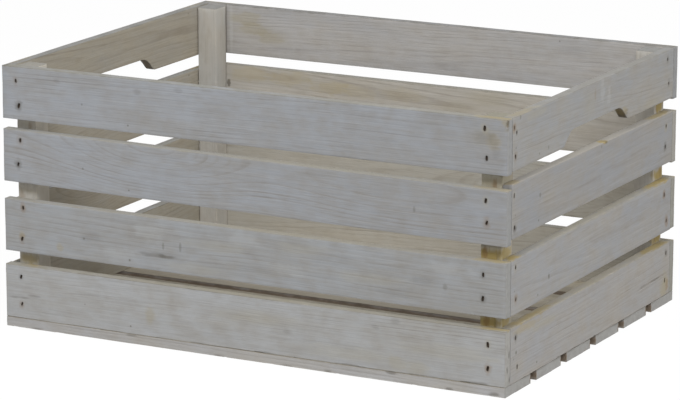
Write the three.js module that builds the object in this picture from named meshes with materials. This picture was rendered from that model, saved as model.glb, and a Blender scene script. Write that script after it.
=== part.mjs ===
// A slatted kindling box: four corner posts, four courses of thin boards on every side and a
// slatted floor. The top board at each end is sawn out below to make a hand-hold.
// Millimetres, +Z up, +X along the box, +Y to its back. The origin is the centre of its base.

import * as THREE from "three";

// Overall size of the box
const boxLength = 600;
const boxWidth = 439;
const boxHeight = 289.5;

// Sawn timber
const boardThickness = 11;
const boardWidth = 58.5;
const floorThickness = 11;
const floorBoardWidth = 61.5;
const floorBoardCount = 6;
const postWidth = 24; // along the box
const postDepth = 26; // across the box
const postDrop = 1; // how far the posts stop below the rim
const arris = 0.8; // width taken off each sharp edge

// Hand-hold, sawn into the lower edge of the top board at each end
const handleWidth = 169;
const handleHeight = 16;
const handleEndRun = 28.5; // how far along the board each sloping end reaches
const handleCornerEase = 15.5; // pull of its round corner at the top
const handleLipEase = 6; // and of the lip at the board's edge

// The boards are nailed up by eye. In each wall, from the bottom course up: how far a board's
// near and far ends sit above an even spacing, and how much wider it is than the rest. A board's
// near end is the one towards -X in the long walls and towards -Y in the short ones.
const courses = ["bottom", "lower", "upper", "top"];
const setByEye = {
  front: [[0, 0, 0.7], [0.4, -1.4, 0], [4.2, 0, 0], [0, 0, 0]],
  back: [[0, 0, 0.3], [-1.2, -0.2, 0], [2.4, 1.6, 0], [0, 0, 0]],
  left: [[0, 0, -0.2], [0.5, 0.5, -4], [1.9, 1.9, -3.2], [0, 0, 0]],
  right: [[0, 0, 1], [-1.6, -0.8, 0.8], [5.2, 3.4, -0.8], [0, 0, -2.2]],
};

// Finishes: a thin grey-white wash over pine, warmer where it is thinner
const washedFace = { color: 0x979694, roughness: 0.85, metalness: 0 };
const washedEnd = { color: 0x96948f, roughness: 0.85, metalness: 0 };
const washedPost = { color: 0x9b968c, roughness: 0.9, metalness: 0 };
const washedFloor = { color: 0x948c7f, roughness: 0.9, metalness: 0 };

// Worked out from the sizes above
const wallHeight = boxHeight - floorThickness;
const courseStep = (wallHeight - boardWidth) / (courses.length - 1);
const shortWallLength = boxWidth - 2 * boardThickness;
const floorStep = (boxWidth - floorBoardWidth) / (floorBoardCount - 1);

const kindlingBox = new THREE.Group();

function addPiece(name, geometry, finish) {
  const piece = new THREE.Mesh(geometry, new THREE.MeshStandardMaterial(finish));
  piece.name = name;
  kindlingBox.add(piece);
  return piece;
}

// Takes an outline along the hand-hold in a lower edge at the given height: off the edge at a
// soft lip, up a sloping end into a round corner, along the straight top, and the same back down.
function sawHandle(outline, edge) {
  const half = handleWidth / 2;
  const corner = half - handleEndRun;
  const top = edge + handleHeight;
  outline.lineTo(-half, edge);
  outline.bezierCurveTo(handleLipEase - half, edge, -corner - handleCornerEase, top, -corner, top);
  outline.lineTo(corner, top);
  outline.bezierCurveTo(corner + handleCornerEase, top, half - handleLipEase, edge, half, edge);
}

// A board's outline on its face, with plumb ends. near and far are the heights of its lower
// edge at its two ends.
function boardOutline(length, near, far, width, hasHandle = false) {
  const outline = new THREE.Shape();
  outline.moveTo(-length / 2, near);
  if (hasHandle) {
    sawHandle(outline, (near + far) / 2);
  }
  outline.lineTo(length / 2, far);
  outline.lineTo(length / 2, far + width);
  outline.lineTo(-length / 2, near + width);
  outline.closePath();
  return outline;
}

// Saws the outline out of a board that reaches from Z = 0 to its thickness, and takes the sharp
// edge off both faces.
function sawBoard(outline, thickness) {
  const board = new THREE.ExtrudeGeometry(outline, {
    depth: thickness - 2 * arris,
    bevelThickness: arris,
    bevelSize: arris,
    bevelOffset: -arris,
    bevelSegments: 1,
    curveSegments: 8,
  });
  return board.translate(0, 0, arris);
}

// Makes one wall's boards. stand() turns each one upright and moves it to its wall.
function buildWall(side, length, hasHandles, finish, stand) {
  courses.forEach((course, index) => {
    const [nearRise, farRise, extraWidth] = setByEye[side][index];
    const isTop = index === courses.length - 1;
    const isHandle = isTop && hasHandles;
    const width = boardWidth + extraWidth;
    // A top board stays flush with the rim, whatever its width.
    const seat = isTop ? boxHeight - width : floorThickness + index * courseStep;
    const outline = boardOutline(length, seat + nearRise, seat + farRise, width, isHandle);
    const name = isHandle ? `${side}_handle_board` : `${side}_board_${course}`;
    stand(addPiece(name, sawBoard(outline, boardThickness), finish));
  });
}

// Stands a board lengthwise, with its front face at y - boardThickness and its back face at y.
function standLengthwise(board, y) {
  board.rotation.x = Math.PI / 2;
  board.position.y = y;
}

// Stands a board across the box, with its faces at x and x + boardThickness.
function standAcross(board, x) {
  board.rotation.set(Math.PI / 2, Math.PI / 2, 0);
  board.position.x = x;
}

// The long walls run the full length. The short ones are held between them.
buildWall("front", boxLength, false, washedFace,
  (board) => standLengthwise(board, boardThickness - boxWidth / 2));
buildWall("back", boxLength, false, washedFace,
  (board) => standLengthwise(board, boxWidth / 2));
buildWall("left", shortWallLength, true, washedEnd,
  (board) => standAcross(board, -boxLength / 2));
buildWall("right", shortWallLength, true, washedEnd,
  (board) => standAcross(board, boxLength / 2 - boardThickness));

// A post's section, with its four long edges taken off.
function postSection() {
  const x = postWidth / 2;
  const y = postDepth / 2;
  const section = new THREE.Shape();
  section.moveTo(arris - x, -y);
  section.lineTo(x - arris, -y);
  section.lineTo(x, arris - y);
  section.lineTo(x, y - arris);
  section.lineTo(x - arris, y);
  section.lineTo(arris - x, y);
  section.lineTo(-x, y - arris);
  section.lineTo(-x, arris - y);
  section.closePath();
  return section;
}

// The posts stand on the floor, in the corners of the walls.
for (const [endName, end] of [["left", -1], ["right", 1]]) {
  for (const [sideName, side] of [["front", -1], ["back", 1]]) {
    const geometry = new THREE.ExtrudeGeometry(postSection(), {
      depth: wallHeight - postDrop,
      bevelEnabled: false,
    });
    const post = addPiece(`post_${sideName}_${endName}`, geometry, washedPost);
    post.position.set(
      end * (boxLength / 2 - boardThickness - postWidth / 2),
      side * (boxWidth / 2 - boardThickness - postDepth / 2),
      floorThickness,
    );
  }
}

// The floor boards lie lengthwise under the walls. The outer two are flush with the long walls.
for (let index = 0; index < floorBoardCount; index += 1) {
  const outline = boardOutline(boxLength, 0, 0, floorBoardWidth);
  const board = addPiece(`floor_board_${index + 1}`, sawBoard(outline, floorThickness), washedFloor);
  board.position.y = index * floorStep - boxWidth / 2;
}

export default kindlingBox;
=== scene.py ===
"""A whitewashed slatted kindling box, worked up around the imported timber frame.

Every board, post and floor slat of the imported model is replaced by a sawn, worn and stapled piece
of the same size, under one thin coat of grey-white wash. Lengths are in metres unless a name or a
docstring says millimetres. X runs along the box, Y from front to back and Z up.
"""

import logging
import math
import random
from collections.abc import Callable, Iterable
from dataclasses import dataclass, field, replace
from enum import Enum

import bmesh
import bpy
from mathutils import Matrix, Vector


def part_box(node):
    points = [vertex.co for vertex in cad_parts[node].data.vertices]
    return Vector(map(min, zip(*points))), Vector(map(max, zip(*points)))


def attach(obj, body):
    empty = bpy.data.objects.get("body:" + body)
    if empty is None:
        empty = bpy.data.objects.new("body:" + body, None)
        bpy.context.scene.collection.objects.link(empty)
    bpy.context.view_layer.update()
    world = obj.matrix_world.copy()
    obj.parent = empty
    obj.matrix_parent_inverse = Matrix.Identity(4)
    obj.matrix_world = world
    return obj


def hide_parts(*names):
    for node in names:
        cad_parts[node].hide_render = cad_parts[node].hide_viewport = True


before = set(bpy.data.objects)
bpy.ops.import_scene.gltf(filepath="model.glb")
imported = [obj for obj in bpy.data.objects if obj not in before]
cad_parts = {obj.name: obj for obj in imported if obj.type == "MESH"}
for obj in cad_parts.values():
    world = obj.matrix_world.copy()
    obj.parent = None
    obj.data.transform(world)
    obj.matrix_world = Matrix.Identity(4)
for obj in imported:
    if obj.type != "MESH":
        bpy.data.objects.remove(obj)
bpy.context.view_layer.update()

log = logging.getLogger("kindling_box")

MM = 0.001
BODY = "root"

# The box's half length and half width, its boards' thickness and its posts' width, in millimetres
HALF_LENGTH = 300.0
HALF_WIDTH = 219.5
BOARD = 11.0
POST = 24.0

MARK_DEPTH = 8.0  # how far a mark goes into its board, in millimetres
PATCH_FADE = (0.35, 1.15)  # where a patch starts to fade and is gone, as shares of its reach
TOUCH = 1e-5  # how near counts as the same place, in metres
ALONG = 0.98  # how much of an edge's length runs along the axis that it is said to run along
HALO = (5.0, 5.0, 7.0)  # how far a staple stains the wash, in millimetres
# the dark in each staple's pit is painted shade
HOLE = (2.9, 2.9, 4.2)  # how far the dark of its pit goes
HOLE_DEPTH = 2.2 * MM
SEED_STEP = 1.37  # keeps the noises of neighbouring boards apart
NICK_SEED = 500  # keeps the draws for nicks apart from those for staples

Piece = bpy.types.Object
Triple = tuple[float, float, float]
Pair = tuple[float, float]


# ---- Named choices ----


class Wall(Enum):
    """The four walls, each with the turn about Z, in degrees, that takes the front wall to it."""

    FRONT = ("front", 0.0)
    RIGHT = ("right", 90.0)
    BACK = ("back", 180.0)
    LEFT = ("left", -90.0)

    @property
    def word(self) -> str:
        """The word that starts the names of the wall's boards."""
        return self.value[0]

    @property
    def turn(self) -> float:
        """The turn about Z, in radians, from the front wall."""
        return math.radians(self.value[1])


class Course(Enum):
    """The four rows of boards, from the floor up."""

    BOTTOM = "bottom"
    LOWER = "lower"
    UPPER = "upper"
    TOP = "top"


class Run(Enum):
    """Which world axes lie along the grain, across the face and through the thickness."""

    LENGTHWISE = (0, 2, 1)
    CROSSWISE = (1, 2, 0)
    UPRIGHT = (2, 0, 1)
    FLAT = (0, 1, 2)


class Tint(Enum):
    """What a patch on the wash shows."""

    BARE = "bare"
    THIN = "thin"
    RUST = "rust"
    # dark dirt, and painted shade where patches lay it in gaps, corners and faces turned from the light
    GRIME = "grime"
    PALE = "pale"
    PIT = "pit"


BOTTOM, LOWER, UPPER, TOP = Course
BARE, THIN, RUST, GRIME, PALE, PIT = Tint
MarkRow = tuple[Tint, float, float, float, *tuple[Pair, ...]]


# ---- Hand tools for the meshes ----


def clear_bench() -> None:
    """Leave edit mode and select nothing."""
    if bpy.context.mode != "OBJECT":
        bpy.ops.object.mode_set(mode="OBJECT")
    bpy.ops.object.select_all(action="DESELECT")


def take(piece: Piece) -> None:
    """Select one piece alone and make it the active one."""
    clear_bench()
    piece.select_set(True)
    bpy.context.view_layer.objects.active = piece


def settle(piece: Piece) -> None:
    """Put a piece's place, turn and scale into its mesh."""
    take(piece)
    bpy.ops.object.transform_apply(location=True, rotation=True, scale=True)


def edit(piece: Piece) -> None:
    """Open a piece in edit mode with nothing selected."""
    take(piece)
    bpy.ops.object.mode_set(mode="EDIT")
    bpy.ops.mesh.select_all(action="DESELECT")


def pick(piece: Piece, part: str, test: Callable[..., bool]) -> int:
    """Select the parts of the piece in edit mode that pass a test.

    Args:
        piece: the piece that is open in edit mode.
        part: VERT, EDGE or FACE.
        test: says of one vertex, edge or face whether it is wanted.

    Returns:
        How many were selected.
    """
    bpy.ops.mesh.select_mode(type=part)
    bpy.ops.mesh.select_all(action="DESELECT")
    mesh = bmesh.from_edit_mesh(piece.data)
    parts = {"VERT": mesh.verts, "EDGE": mesh.edges, "FACE": mesh.faces}[part]
    wanted = [one for one in parts if test(one)]
    for one in wanted:
        one.select_set(True)
    mesh.select_flush_mode()
    bmesh.update_edit_mesh(piece.data)
    return len(wanted)


def edge_runs(axis: int, least: float) -> Callable[[bmesh.types.BMEdge], bool]:
    """Make a test for edges that run along an axis.

    Args:
        axis: 0, 1 or 2 for X, Y or Z.
        least: the shortest length that counts.

    Returns:
        A test for pick.
    """

    def test(one: bmesh.types.BMEdge) -> bool:
        """Whether the edge is long enough and runs the right way."""
        span = one.verts[1].co - one.verts[0].co
        return span.length > least and abs(span[axis]) > ALONG * span.length

    return test


def lay_block(name: str, low: Vector, high: Vector) -> Piece:
    """Lay down a block between two corners.

    Args:
        name: the new piece's name.
        low: its lowest corner.
        high: its highest corner.

    Returns:
        The block, with its place in its mesh.
    """
    clear_bench()
    bpy.ops.mesh.primitive_cube_add(size=1, location=(low + high) / 2, scale=high - low)
    block = bpy.context.active_object
    block.name = name
    settle(block)
    return block


def apply_modifier(piece: Piece, kind: str, **settings: object) -> None:
    """Add one modifier, set it and apply it.

    Args:
        piece: the piece to work on.
        kind: the modifier's type.
        **settings: its settings by name.
    """
    take(piece)
    modifier = piece.modifiers.new(kind.lower(), kind)
    for key, value in settings.items():
        setattr(modifier, key, value)
    bpy.context.view_layer.update()
    bpy.ops.object.modifier_apply(modifier=modifier.name)


def wear_back(piece: Piece, depth: float, stretch: Triple, seed: int) -> None:
    """Sink a piece's faces unevenly, as sawing, drying and handling do.

    Args:
        piece: the piece to work on.
        depth: how deep the lowest places lie.
        stretch: how far one hollow reaches along X, Y and Z.
        seed: moves the pattern, so that each piece has its own.
    """
    cloud = bpy.data.textures.new(piece.name + "_hollows", "CLOUDS")
    cloud.noise_scale = 1.0
    cloud.noise_depth = 2
    gauge = bpy.data.objects.new("gauge", None)
    bpy.context.scene.collection.objects.link(gauge)
    gauge.location = [(seed * step) % 7.0 for step in (0.37, 0.61, 0.83)]
    gauge.scale = stretch
    apply_modifier(
        piece,
        "DISPLACE",
        texture=cloud,
        texture_coords="OBJECT",
        texture_coords_object=gauge,
        strength=depth,
        mid_level=1.0,
    )
    bpy.data.objects.remove(gauge)
    bpy.data.textures.remove(cloud)


def copy_to(master: Piece, name: str, place: Matrix) -> Piece:
    """Copy a master piece, with a mesh of its own, to a new place.

    Args:
        master: the piece to copy.
        name: the copy's name.
        place: the matrix that takes the master to the copy's place.

    Returns:
        The copy, with its place in its mesh.
    """
    twin = master.copy()
    twin.data = master.data.copy()
    twin.name = name
    bpy.context.scene.collection.objects.link(twin)
    twin.matrix_world = place
    settle(twin)
    return twin


def join(pieces: list[Piece], name: str) -> Piece:
    """Join several pieces into one.

    Args:
        pieces: the pieces, which are used up.
        name: the joined piece's name.

    Returns:
        The joined piece.
    """
    clear_bench()
    for piece in pieces:
        piece.select_set(True)
    bpy.context.view_layer.objects.active = pieces[0]
    if len(pieces) > 1:
        bpy.ops.object.join()
    pieces[0].name = name
    return pieces[0]


def shade_smooth(piece: Piece, angle: float) -> None:
    """Shade a piece smooth, apart from edges sharper than an angle in degrees."""
    take(piece)
    bpy.ops.object.shade_smooth_by_angle(angle=math.radians(angle))


def coat(piece: Piece, material: bpy.types.Material) -> None:
    """Give a piece one material."""
    piece.data.materials.clear()
    piece.data.materials.append(material)


def carve(piece: Piece, cutters: list[Piece]) -> None:
    """Cut several shapes out of a piece at once.

    Args:
        piece: the piece to cut.
        cutters: the closed shapes to take away, which are used up.
    """
    if not cutters:
        return
    cutter = join(cutters, "cutter")
    apply_modifier(piece, "BOOLEAN", operation="DIFFERENCE", solver="MANIFOLD", object=cutter)
    bpy.data.objects.remove(cutter)


# ---- Shader bench ----


def shifted(rgb: Triple, levels: Triple) -> Triple:
    """Shift a screen colour by some of its 255 levels in each channel."""
    return rgb[0] + levels[0], rgb[1] + levels[1], rgb[2] + levels[2]


def new_tree(name: str) -> "Tree":
    """Start an empty material."""
    return Tree(bpy.data.materials.new(name))


def linear(rgb: Triple) -> tuple[float, float, float, float]:
    """Turn a colour of 0 to 255 as seen on a screen into Blender's linear one."""
    parts = [c / 255 for c in rgb]
    return (*[c / 12.92 if c <= 0.04045 else ((c + 0.055) / 1.055) ** 2.4 for c in parts], 1.0)


class Wire:
    """One output of a node, which takes part in sums as a number does."""

    def __init__(self, tree: "Tree", socket: bpy.types.NodeSocket) -> None:
        """Hold an output socket and the tree it belongs to."""
        self.tree = tree
        self.socket = socket

    def __add__(self, other: "Wire | float") -> "Wire":
        """Add a wire or a number."""
        return self.tree.sum_of("ADD", self, other)

    __radd__ = __add__

    def __sub__(self, other: "Wire | float") -> "Wire":
        """Take away a wire or a number."""
        return self.tree.sum_of("SUBTRACT", self, other)

    def __rsub__(self, other: float) -> "Wire":
        """Take this wire away from a number."""
        return self.tree.sum_of("SUBTRACT", other, self)

    def __mul__(self, other: "Wire | float") -> "Wire":
        """Multiply by a wire or a number."""
        return self.tree.sum_of("MULTIPLY", self, other)

    __rmul__ = __mul__

    def __truediv__(self, other: "Wire | float") -> "Wire":
        """Divide by a wire or a number."""
        return self.tree.sum_of("DIVIDE", self, other)

    def __pow__(self, other: float) -> "Wire":
        """Raise to a power."""
        return self.tree.sum_of("POWER", self, other)

    def __neg__(self) -> "Wire":
        """Change the sign."""
        return self * -1.0

    def __abs__(self) -> "Wire":
        """Drop the sign."""
        return self.tree.sum_of("ABSOLUTE", self)

    def least(self, other: "Wire | float") -> "Wire":
        """Take the smaller of this and another."""
        return self.tree.sum_of("MINIMUM", self, other)

    def most(self, other: "Wire | float") -> "Wire":
        """Take the larger of this and another."""
        return self.tree.sum_of("MAXIMUM", self, other)

    def rise(self, start: float, end: float, low: float = 0.0, high: float = 1.0) -> "Wire":
        """Go smoothly from one value at start to another at end, and stay there."""
        return self.tree.node(
            "ShaderNodeMapRange",
            {"interpolation_type": "SMOOTHSTEP"},
            {"Value": self, "From Min": start, "From Max": end, "To Min": low, "To Max": high},
        )

    def bell(self, width: float) -> "Wire":
        """Stand at 1 where this is 0, and fall away over a width."""
        return self.tree.sum_of("EXPONENT", -((self / width) ** 2.0))


class Tree:
    """The node tree of a material or of the world, written as expressions."""

    def __init__(self, owner: bpy.types.Material | bpy.types.World) -> None:
        """Empty the owner's node tree and hold it."""
        self.owner = owner
        owner.use_nodes = True
        self.nodes = owner.node_tree.nodes
        self.links = owner.node_tree.links
        self.nodes.clear()

    def node(
        self,
        kind: str,
        settings: dict[str, object] | None = None,
        inputs: dict[str | int, object] | None = None,
        output: int | str = 0,
    ) -> Wire:
        """Add one node.

        Args:
            kind: the node's type.
            settings: what is set on the node itself, first.
            inputs: a value or a wire for each socket, by name or number.
            output: which output to use.

        Returns:
            The wire from that output.
        """
        new = self.nodes.new(kind)
        for key, value in (settings or {}).items():
            setattr(new, key, value)
        for key, value in (inputs or {}).items():
            if isinstance(value, Wire):
                self.links.new(value.socket, new.inputs[key])
            else:
                new.inputs[key].default_value = value
        return Wire(self, new.outputs[output])

    def sum_of(self, operation: str, *terms: Wire | float) -> Wire:
        """Add one Math node over wires and numbers."""
        return self.node("ShaderNodeMath", {"operation": operation}, dict(enumerate(terms)))

    def vector(self, operation: str, *terms: Wire | Triple, output: int = 0) -> Wire:
        """Add one Vector Math node over wires and fixed vectors."""
        settings = {"operation": operation}
        return self.node("ShaderNodeVectorMath", settings, dict(enumerate(terms)), output)

    def place(self) -> tuple[Wire, list[Wire]]:
        """Read the point in the object's own frame, as a vector and as X, Y and Z."""
        point = self.node("ShaderNodeTexCoord", output="Object")
        apart = [self.node("ShaderNodeSeparateXYZ", None, {0: point}, axis) for axis in "XYZ"]
        return point, apart

    def cloud(self, point: Wire, fineness: Triple, seed: float, detail: float = 2.0) -> Wire:
        """Make soft noise about 0.

        Args:
            point: the vector to read.
            fineness: how many waves to the metre along, across and through.
            seed: moves the pattern.
            detail: how many finer layers it has.

        Returns:
            A wire that runs from about -0.5 to 0.5.
        """
        shift = (seed * 1.7, seed * 2.3, seed * 3.1)
        scaled = self.vector("MULTIPLY_ADD", point, fineness, shift)
        inputs = {"Vector": scaled, "Scale": 1.0, "Detail": detail}
        return (self.node("ShaderNodeTexNoise", None, inputs) - 0.5) * 1.6

    def mix(self, share: Wire | float, under: Wire | Triple, over: Wire | Triple) -> Wire:
        """Lay one colour over another.

        Args:
            share: how much of the upper colour shows.
            under: the lower colour, as a wire or as a screen colour.
            over: the upper colour, likewise.

        Returns:
            The mixed colour.
        """
        low, high = [one if isinstance(one, Wire) else linear(one) for one in (under, over)]
        settings = {"data_type": "RGBA", "clamp_factor": True}
        return self.node("ShaderNodeMix", settings, {0: share, 6: low, 7: high}, 2)

    def surface(self, colour: Wire, height: Wire, relief: float, **sockets: Wire | float) -> None:
        """Finish the material with one Principled shader over a bump.

        Args:
            colour: the base colour.
            height: what stands proud, from 0 to 1.
            relief: how far 1 stands proud, in metres.
            **sockets: the other sockets by name, with _ for a space.
        """
        bump = self.node("ShaderNodeBump", None, {"Height": height, "Distance": relief})
        inputs = {key.replace("_", " "): value for key, value in sockets.items()}
        inputs.update({"Base Color": colour, "Normal": bump})
        self.node_out(self.node("ShaderNodeBsdfPrincipled", None, inputs))

    def node_out(self, shader: Wire, kind: str = "ShaderNodeOutputMaterial") -> None:
        """Send a shader to the tree's output."""
        end = self.nodes.new(kind)
        self.links.new(shader.socket, end.inputs["Surface"])

    def seen_plainly(self) -> Wire:
        """Whether a ray comes from the camera, or from it by way of metal or glass."""
        rays = ("Is Camera Ray", "Is Glossy Ray", "Is Transmission Ray")
        camera, glossy, through = [self.node("ShaderNodeLightPath", output=name) for name in rays]
        return camera.most(glossy).most(through)


# ---- What a board's wood and wash look like ----


@dataclass(frozen=True)
class Swirl:
    """A place where the rings close into ovals on the face.

    along is its middle on the board, reach how far it goes along the grain and lift how far the
    log's middle comes up towards the face there, all in millimetres.
    """

    along: float
    reach: float = 60.0
    lift: float = 15.0


class Grain(Enum):
    """The finish's noises: waves to the metre along, across and through, seed shift and layers."""

    FIBRE = ((24.0, 560.0, 560.0), 11.0, 3.0)
    STREAK = ((6.0, 150.0, 150.0), 13.0, 3.0)
    BLOTCH = ((13.0, 24.0, 24.0), 17.0, 3.0)
    DAB = ((46.0, 62.0, 62.0), 29.0, 2.0)
    MOTTLE = ((90.0, 150.0, 150.0), 19.0, 3.0)
    DRAG = ((16.0, 360.0, 360.0), 23.0, 2.0)


@dataclass(frozen=True)
class Figure:
    """How the board was sawn from its log, in millimetres, and how it took the wash.

    pith is where the log's middle lies across and through the board, drift and lean how many
    millimetres it moves across and through over one metre, sway how far it wanders and ring the
    width of a year's growth. contrast is how strongly the rings show through, tone how far
    the wash's red, green and blue are from the other boards', in screen levels, which on the
    bottom boards is lighter as painted light bounced up from the floor, rim the same for its top
    edge, whose colour is partly painted shade, and warm how much of the wash is the warmer shade
    at the board's two ends.
    """

    pith: Pair = (0.0, -28.0)
    drift: float = 0.0
    lean: float = 20.0
    sway: float = 10.0
    ring: float = 3.2
    contrast: float = 1.0
    tone: Triple = (0.0, 0.0, 0.0)
    rim: Triple = (0.0, 0.0, 0.0)
    warm: Pair = (0.4, 0.5)
    swirls: tuple[Swirl, ...] = ()


@dataclass(frozen=True)
class Patch:
    """A spot where the wash is not even, or where shade or light is painted on it.

    place is its middle in the box's frame and reach how far it goes along X, Y and Z, both in
    millimetres.
    """

    tint: Tint
    place: Triple
    reach: Triple
    share: float = 0.6
    ragged: float = 0.8


@dataclass(frozen=True)
class Plane:
    """A plane that marks lie on: its axes along, up and through, and its place in millimetres."""

    run: Run
    level: float

    def marks(self, *rows: MarkRow) -> list[Patch]:
        """Put marks on the plane.

        Args:
            *rows: what each kind of mark shows, how far it goes along and up, how strong it is,
                and then the middles of all its marks, along and up.

        Returns:
            A patch for each middle.
        """
        along, up, _ = self.run.value
        found = []
        for tint, reach_along, reach_up, share, *middles in rows:
            for middle in middles:
                place, reach = [self.level] * 3, [MARK_DEPTH] * 3
                place[along], place[up] = middle
                reach[along], reach[up] = reach_along, reach_up
                found.append(Patch(tint, tuple(place), tuple(reach), share))
        return found


@dataclass(frozen=True)
class Sawing:
    """Where a board lies: its axes, middle, half size, climb and the way that it looks out."""

    run: Run
    centre: Vector
    half: Vector
    slope: float
    outward: float
    seed: float


@dataclass(frozen=True)
class WashedPine:
    """Sawn pine under one thin coat of grey-white wash.

    The colours are screen colours. outside and inside say how much of the wood the wash covers
    on the face that looks out and on the one that looks in. within is the wash on the face inside
    the box, its lightness set partly as painted light for the shaded inside. rim is the top edge's
    colour, a yellower wash painted darker as shade against the light that falls from above. The
    dark grime colour is dirt, and painted shade where patches lay it in gaps and corners.
    """

    cool: Triple = (152, 155, 160)
    plain: Triple = (140, 142, 145)
    # the wash on the face inside the box; its lightness is partly painted light for the shaded inside
    within: Triple = (174, 173, 172)
    sawn_end: Triple = (143, 143, 142)
    # the top edge's colour: a yellower wash, painted darker as shade against the light from above
    rim: Triple = (141, 137, 126)
    early: Triple = (190, 172, 138)
    late: Triple = (138, 116, 84)
    raw: Triple = (116, 104, 84)
    bare: Triple = (154, 136, 84)
    thin: Triple = (154, 146, 124)
    rust: Triple = (126, 98, 62)
    grime: Triple = (82, 76, 64)
    # dirt, and painted shade where patches lay it in gaps and corners
    pale: Triple = (184, 184, 182)
    pit: Triple = (48, 38, 26)
    outside: float = 0.96
    inside: float = 0.88
    line: float = 0.17
    edge_wear: float = 0.07
    drag: float = 0.08

    def growth(self, tree: Tree, point: Wire, local: list[Wire], figure: Figure, seed: float) -> Wire:
        """Work out the growth rings.

        Args:
            tree: the material's tree.
            point: the board's own point, along, across and through.
            local: the same point as three wires.
            figure: how the board was sawn.
            seed: the board's own number.

        Returns:
            Late wood, from 0 to 1.
        """
        along, across, through = local
        wander = tree.cloud(point, (2.6, 0.0, 0.0), seed + 3.0)
        side = across - figure.pith[0] * MM - along * (figure.drift * MM) - wander * (figure.sway * MM)
        deep = through - figure.pith[1] * MM - along * (figure.lean * MM)
        deep = deep + tree.cloud(point, (4.0, 0.0, 0.0), seed + 5.0) * (figure.sway * 0.6 * MM)
        for swirl in figure.swirls:
            deep = deep - (along - swirl.along * MM).bell(swirl.reach * MM) * (swirl.lift * MM)
        radius = (side**2.0 + deep**2.0) ** 0.5
        radius = radius + tree.cloud(point, (7.0, 30.0, 30.0), seed + 7.0) * (2.0 * MM)
        turns = radius / (figure.ring * MM)
        year = tree.sum_of("FLOOR", turns)
        phase = turns - year
        strength = tree.node("ShaderNodeTexWhiteNoise", {"noise_dimensions": "1D"}, {"W": year + seed})
        fade = tree.cloud(point, (16.0, 50.0, 50.0), seed + 9.0, 3.0)
        late = phase.rise(0.42, 0.84) * (1.0 - phase.rise(0.88, 1.0)) * (0.2 + strength * 0.8)
        return (late * (0.8 + fade * 1.8)).most(0.0)

    def specks(self, tree: Tree, local: Wire, mottle: Wire) -> Wire:
        """Strew a few dark specks, each in a cell of its own.

        Args:
            tree: the material's tree.
            local: the board's own point.
            mottle: frays their edges.

        Returns:
            Speck from 0 to 1.
        """
        cells = {"Vector": local, "Scale": 36.0, "Randomness": 1.0}
        away, shade = [tree.node("ShaderNodeTexVoronoi", None, cells, output) for output in (0, 1)]
        chance = tree.node("ShaderNodeSeparateColor", None, {0: shade})
        return (1.0 - (away + mottle * 0.04).rise(0.02, 0.06)) * chance.rise(0.62, 0.90)

    def dress(self, piece: Piece, saw: Sawing, figure: Figure, patches: list[Patch]) -> None:
        """Give a board its wood, its wash and its marks.

        Args:
            piece: the board.
            saw: where it lies.
            figure: how it was sawn.
            patches: where the wash is not even, or where shade or light is painted on it.
        """
        tree = new_tree(piece.name + "_finish")
        point, world = tree.place()
        u, v, w = saw.run.value
        along = world[u] - saw.centre[u]
        across = world[v] - saw.centre[v] - along * saw.slope
        through = (world[w] - saw.centre[w]) * saw.outward
        local = tree.node("ShaderNodeCombineXYZ", None, {0: along, 1: across, 2: through})
        late = self.growth(tree, local, [along, across, through], figure, saw.seed)
        fibre, streak, blotch, dab, mottle, drag = [
            tree.cloud(local, fineness, saw.seed + shift, layers)
            for fineness, shift, layers in (grain.value for grain in Grain)
        ]

        # How deep below the sawn outline: the walls of pits, chips and splits never took the wash.
        gap_u, gap_v = saw.half[u] - abs(along), saw.half[v] - abs(across)
        gap_w = saw.half[w] - abs(through)
        depth = gap_u.least(gap_v).least(gap_w)
        raw = (depth + mottle * (0.6 * MM)).rise(1.1 * MM, 2.0 * MM)
        arris = gap_v + gap_w + mottle * (3.0 * MM) + streak * (2.0 * MM)
        arris = 1.0 - arris.rise(0.6 * MM, 2.2 * MM)
        end_grain = 1.0 - (gap_u + fibre * (0.4 * MM)).rise(0.8 * MM, 1.6 * MM)

        # How much of the wood the wash covers, and how warm the wash is there.
        facing = through.rise(-0.98 * saw.half[w], -0.80 * saw.half[w])
        worn = late * (self.line * figure.contrast)
        cover = self.inside + facing * (self.outside - self.inside)
        cover = cover - worn * (1.35 - cover) - fibre * 0.05 - streak * 0.04 - blotch * 0.12
        cover = cover - dab * 0.10 - mottle * 0.09 - arris * self.edge_wear
        near, far = figure.warm
        warmth = (near + far) / 2 + along * ((far - near) / 2 / saw.half[u]) + blotch * 1.1 + dab * 0.7
        wash = tree.mix(warmth, shifted(self.cool, figure.tone), shifted(self.plain, figure.tone))
        # Inside the box the wash takes the within colour, whose lightness is partly painted light.
        wash = tree.mix(1.0 - facing, wash, shifted(self.within, figure.tone))
        colour = tree.mix(cover, tree.mix(late, self.early, self.late), wash)

        # What lies over it, from below: dirt and brush marks, the top edge's painted shade, sawn edges
        # and ends, specks, raw wood, and then the patches, painted shade and painted light among them.
        dust = fibre * 0.55 + streak * 0.30 + dab * 0.60 + mottle * 0.60 + 0.14
        coats = [
            (worn * 0.55, self.grime),
            (dust * 0.22, self.grime),
            (drag.rise(0.06, 0.34) * self.drag, self.grime),
            ((-drag).rise(0.08, 0.36) * self.drag, self.pale),
        ]
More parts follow.
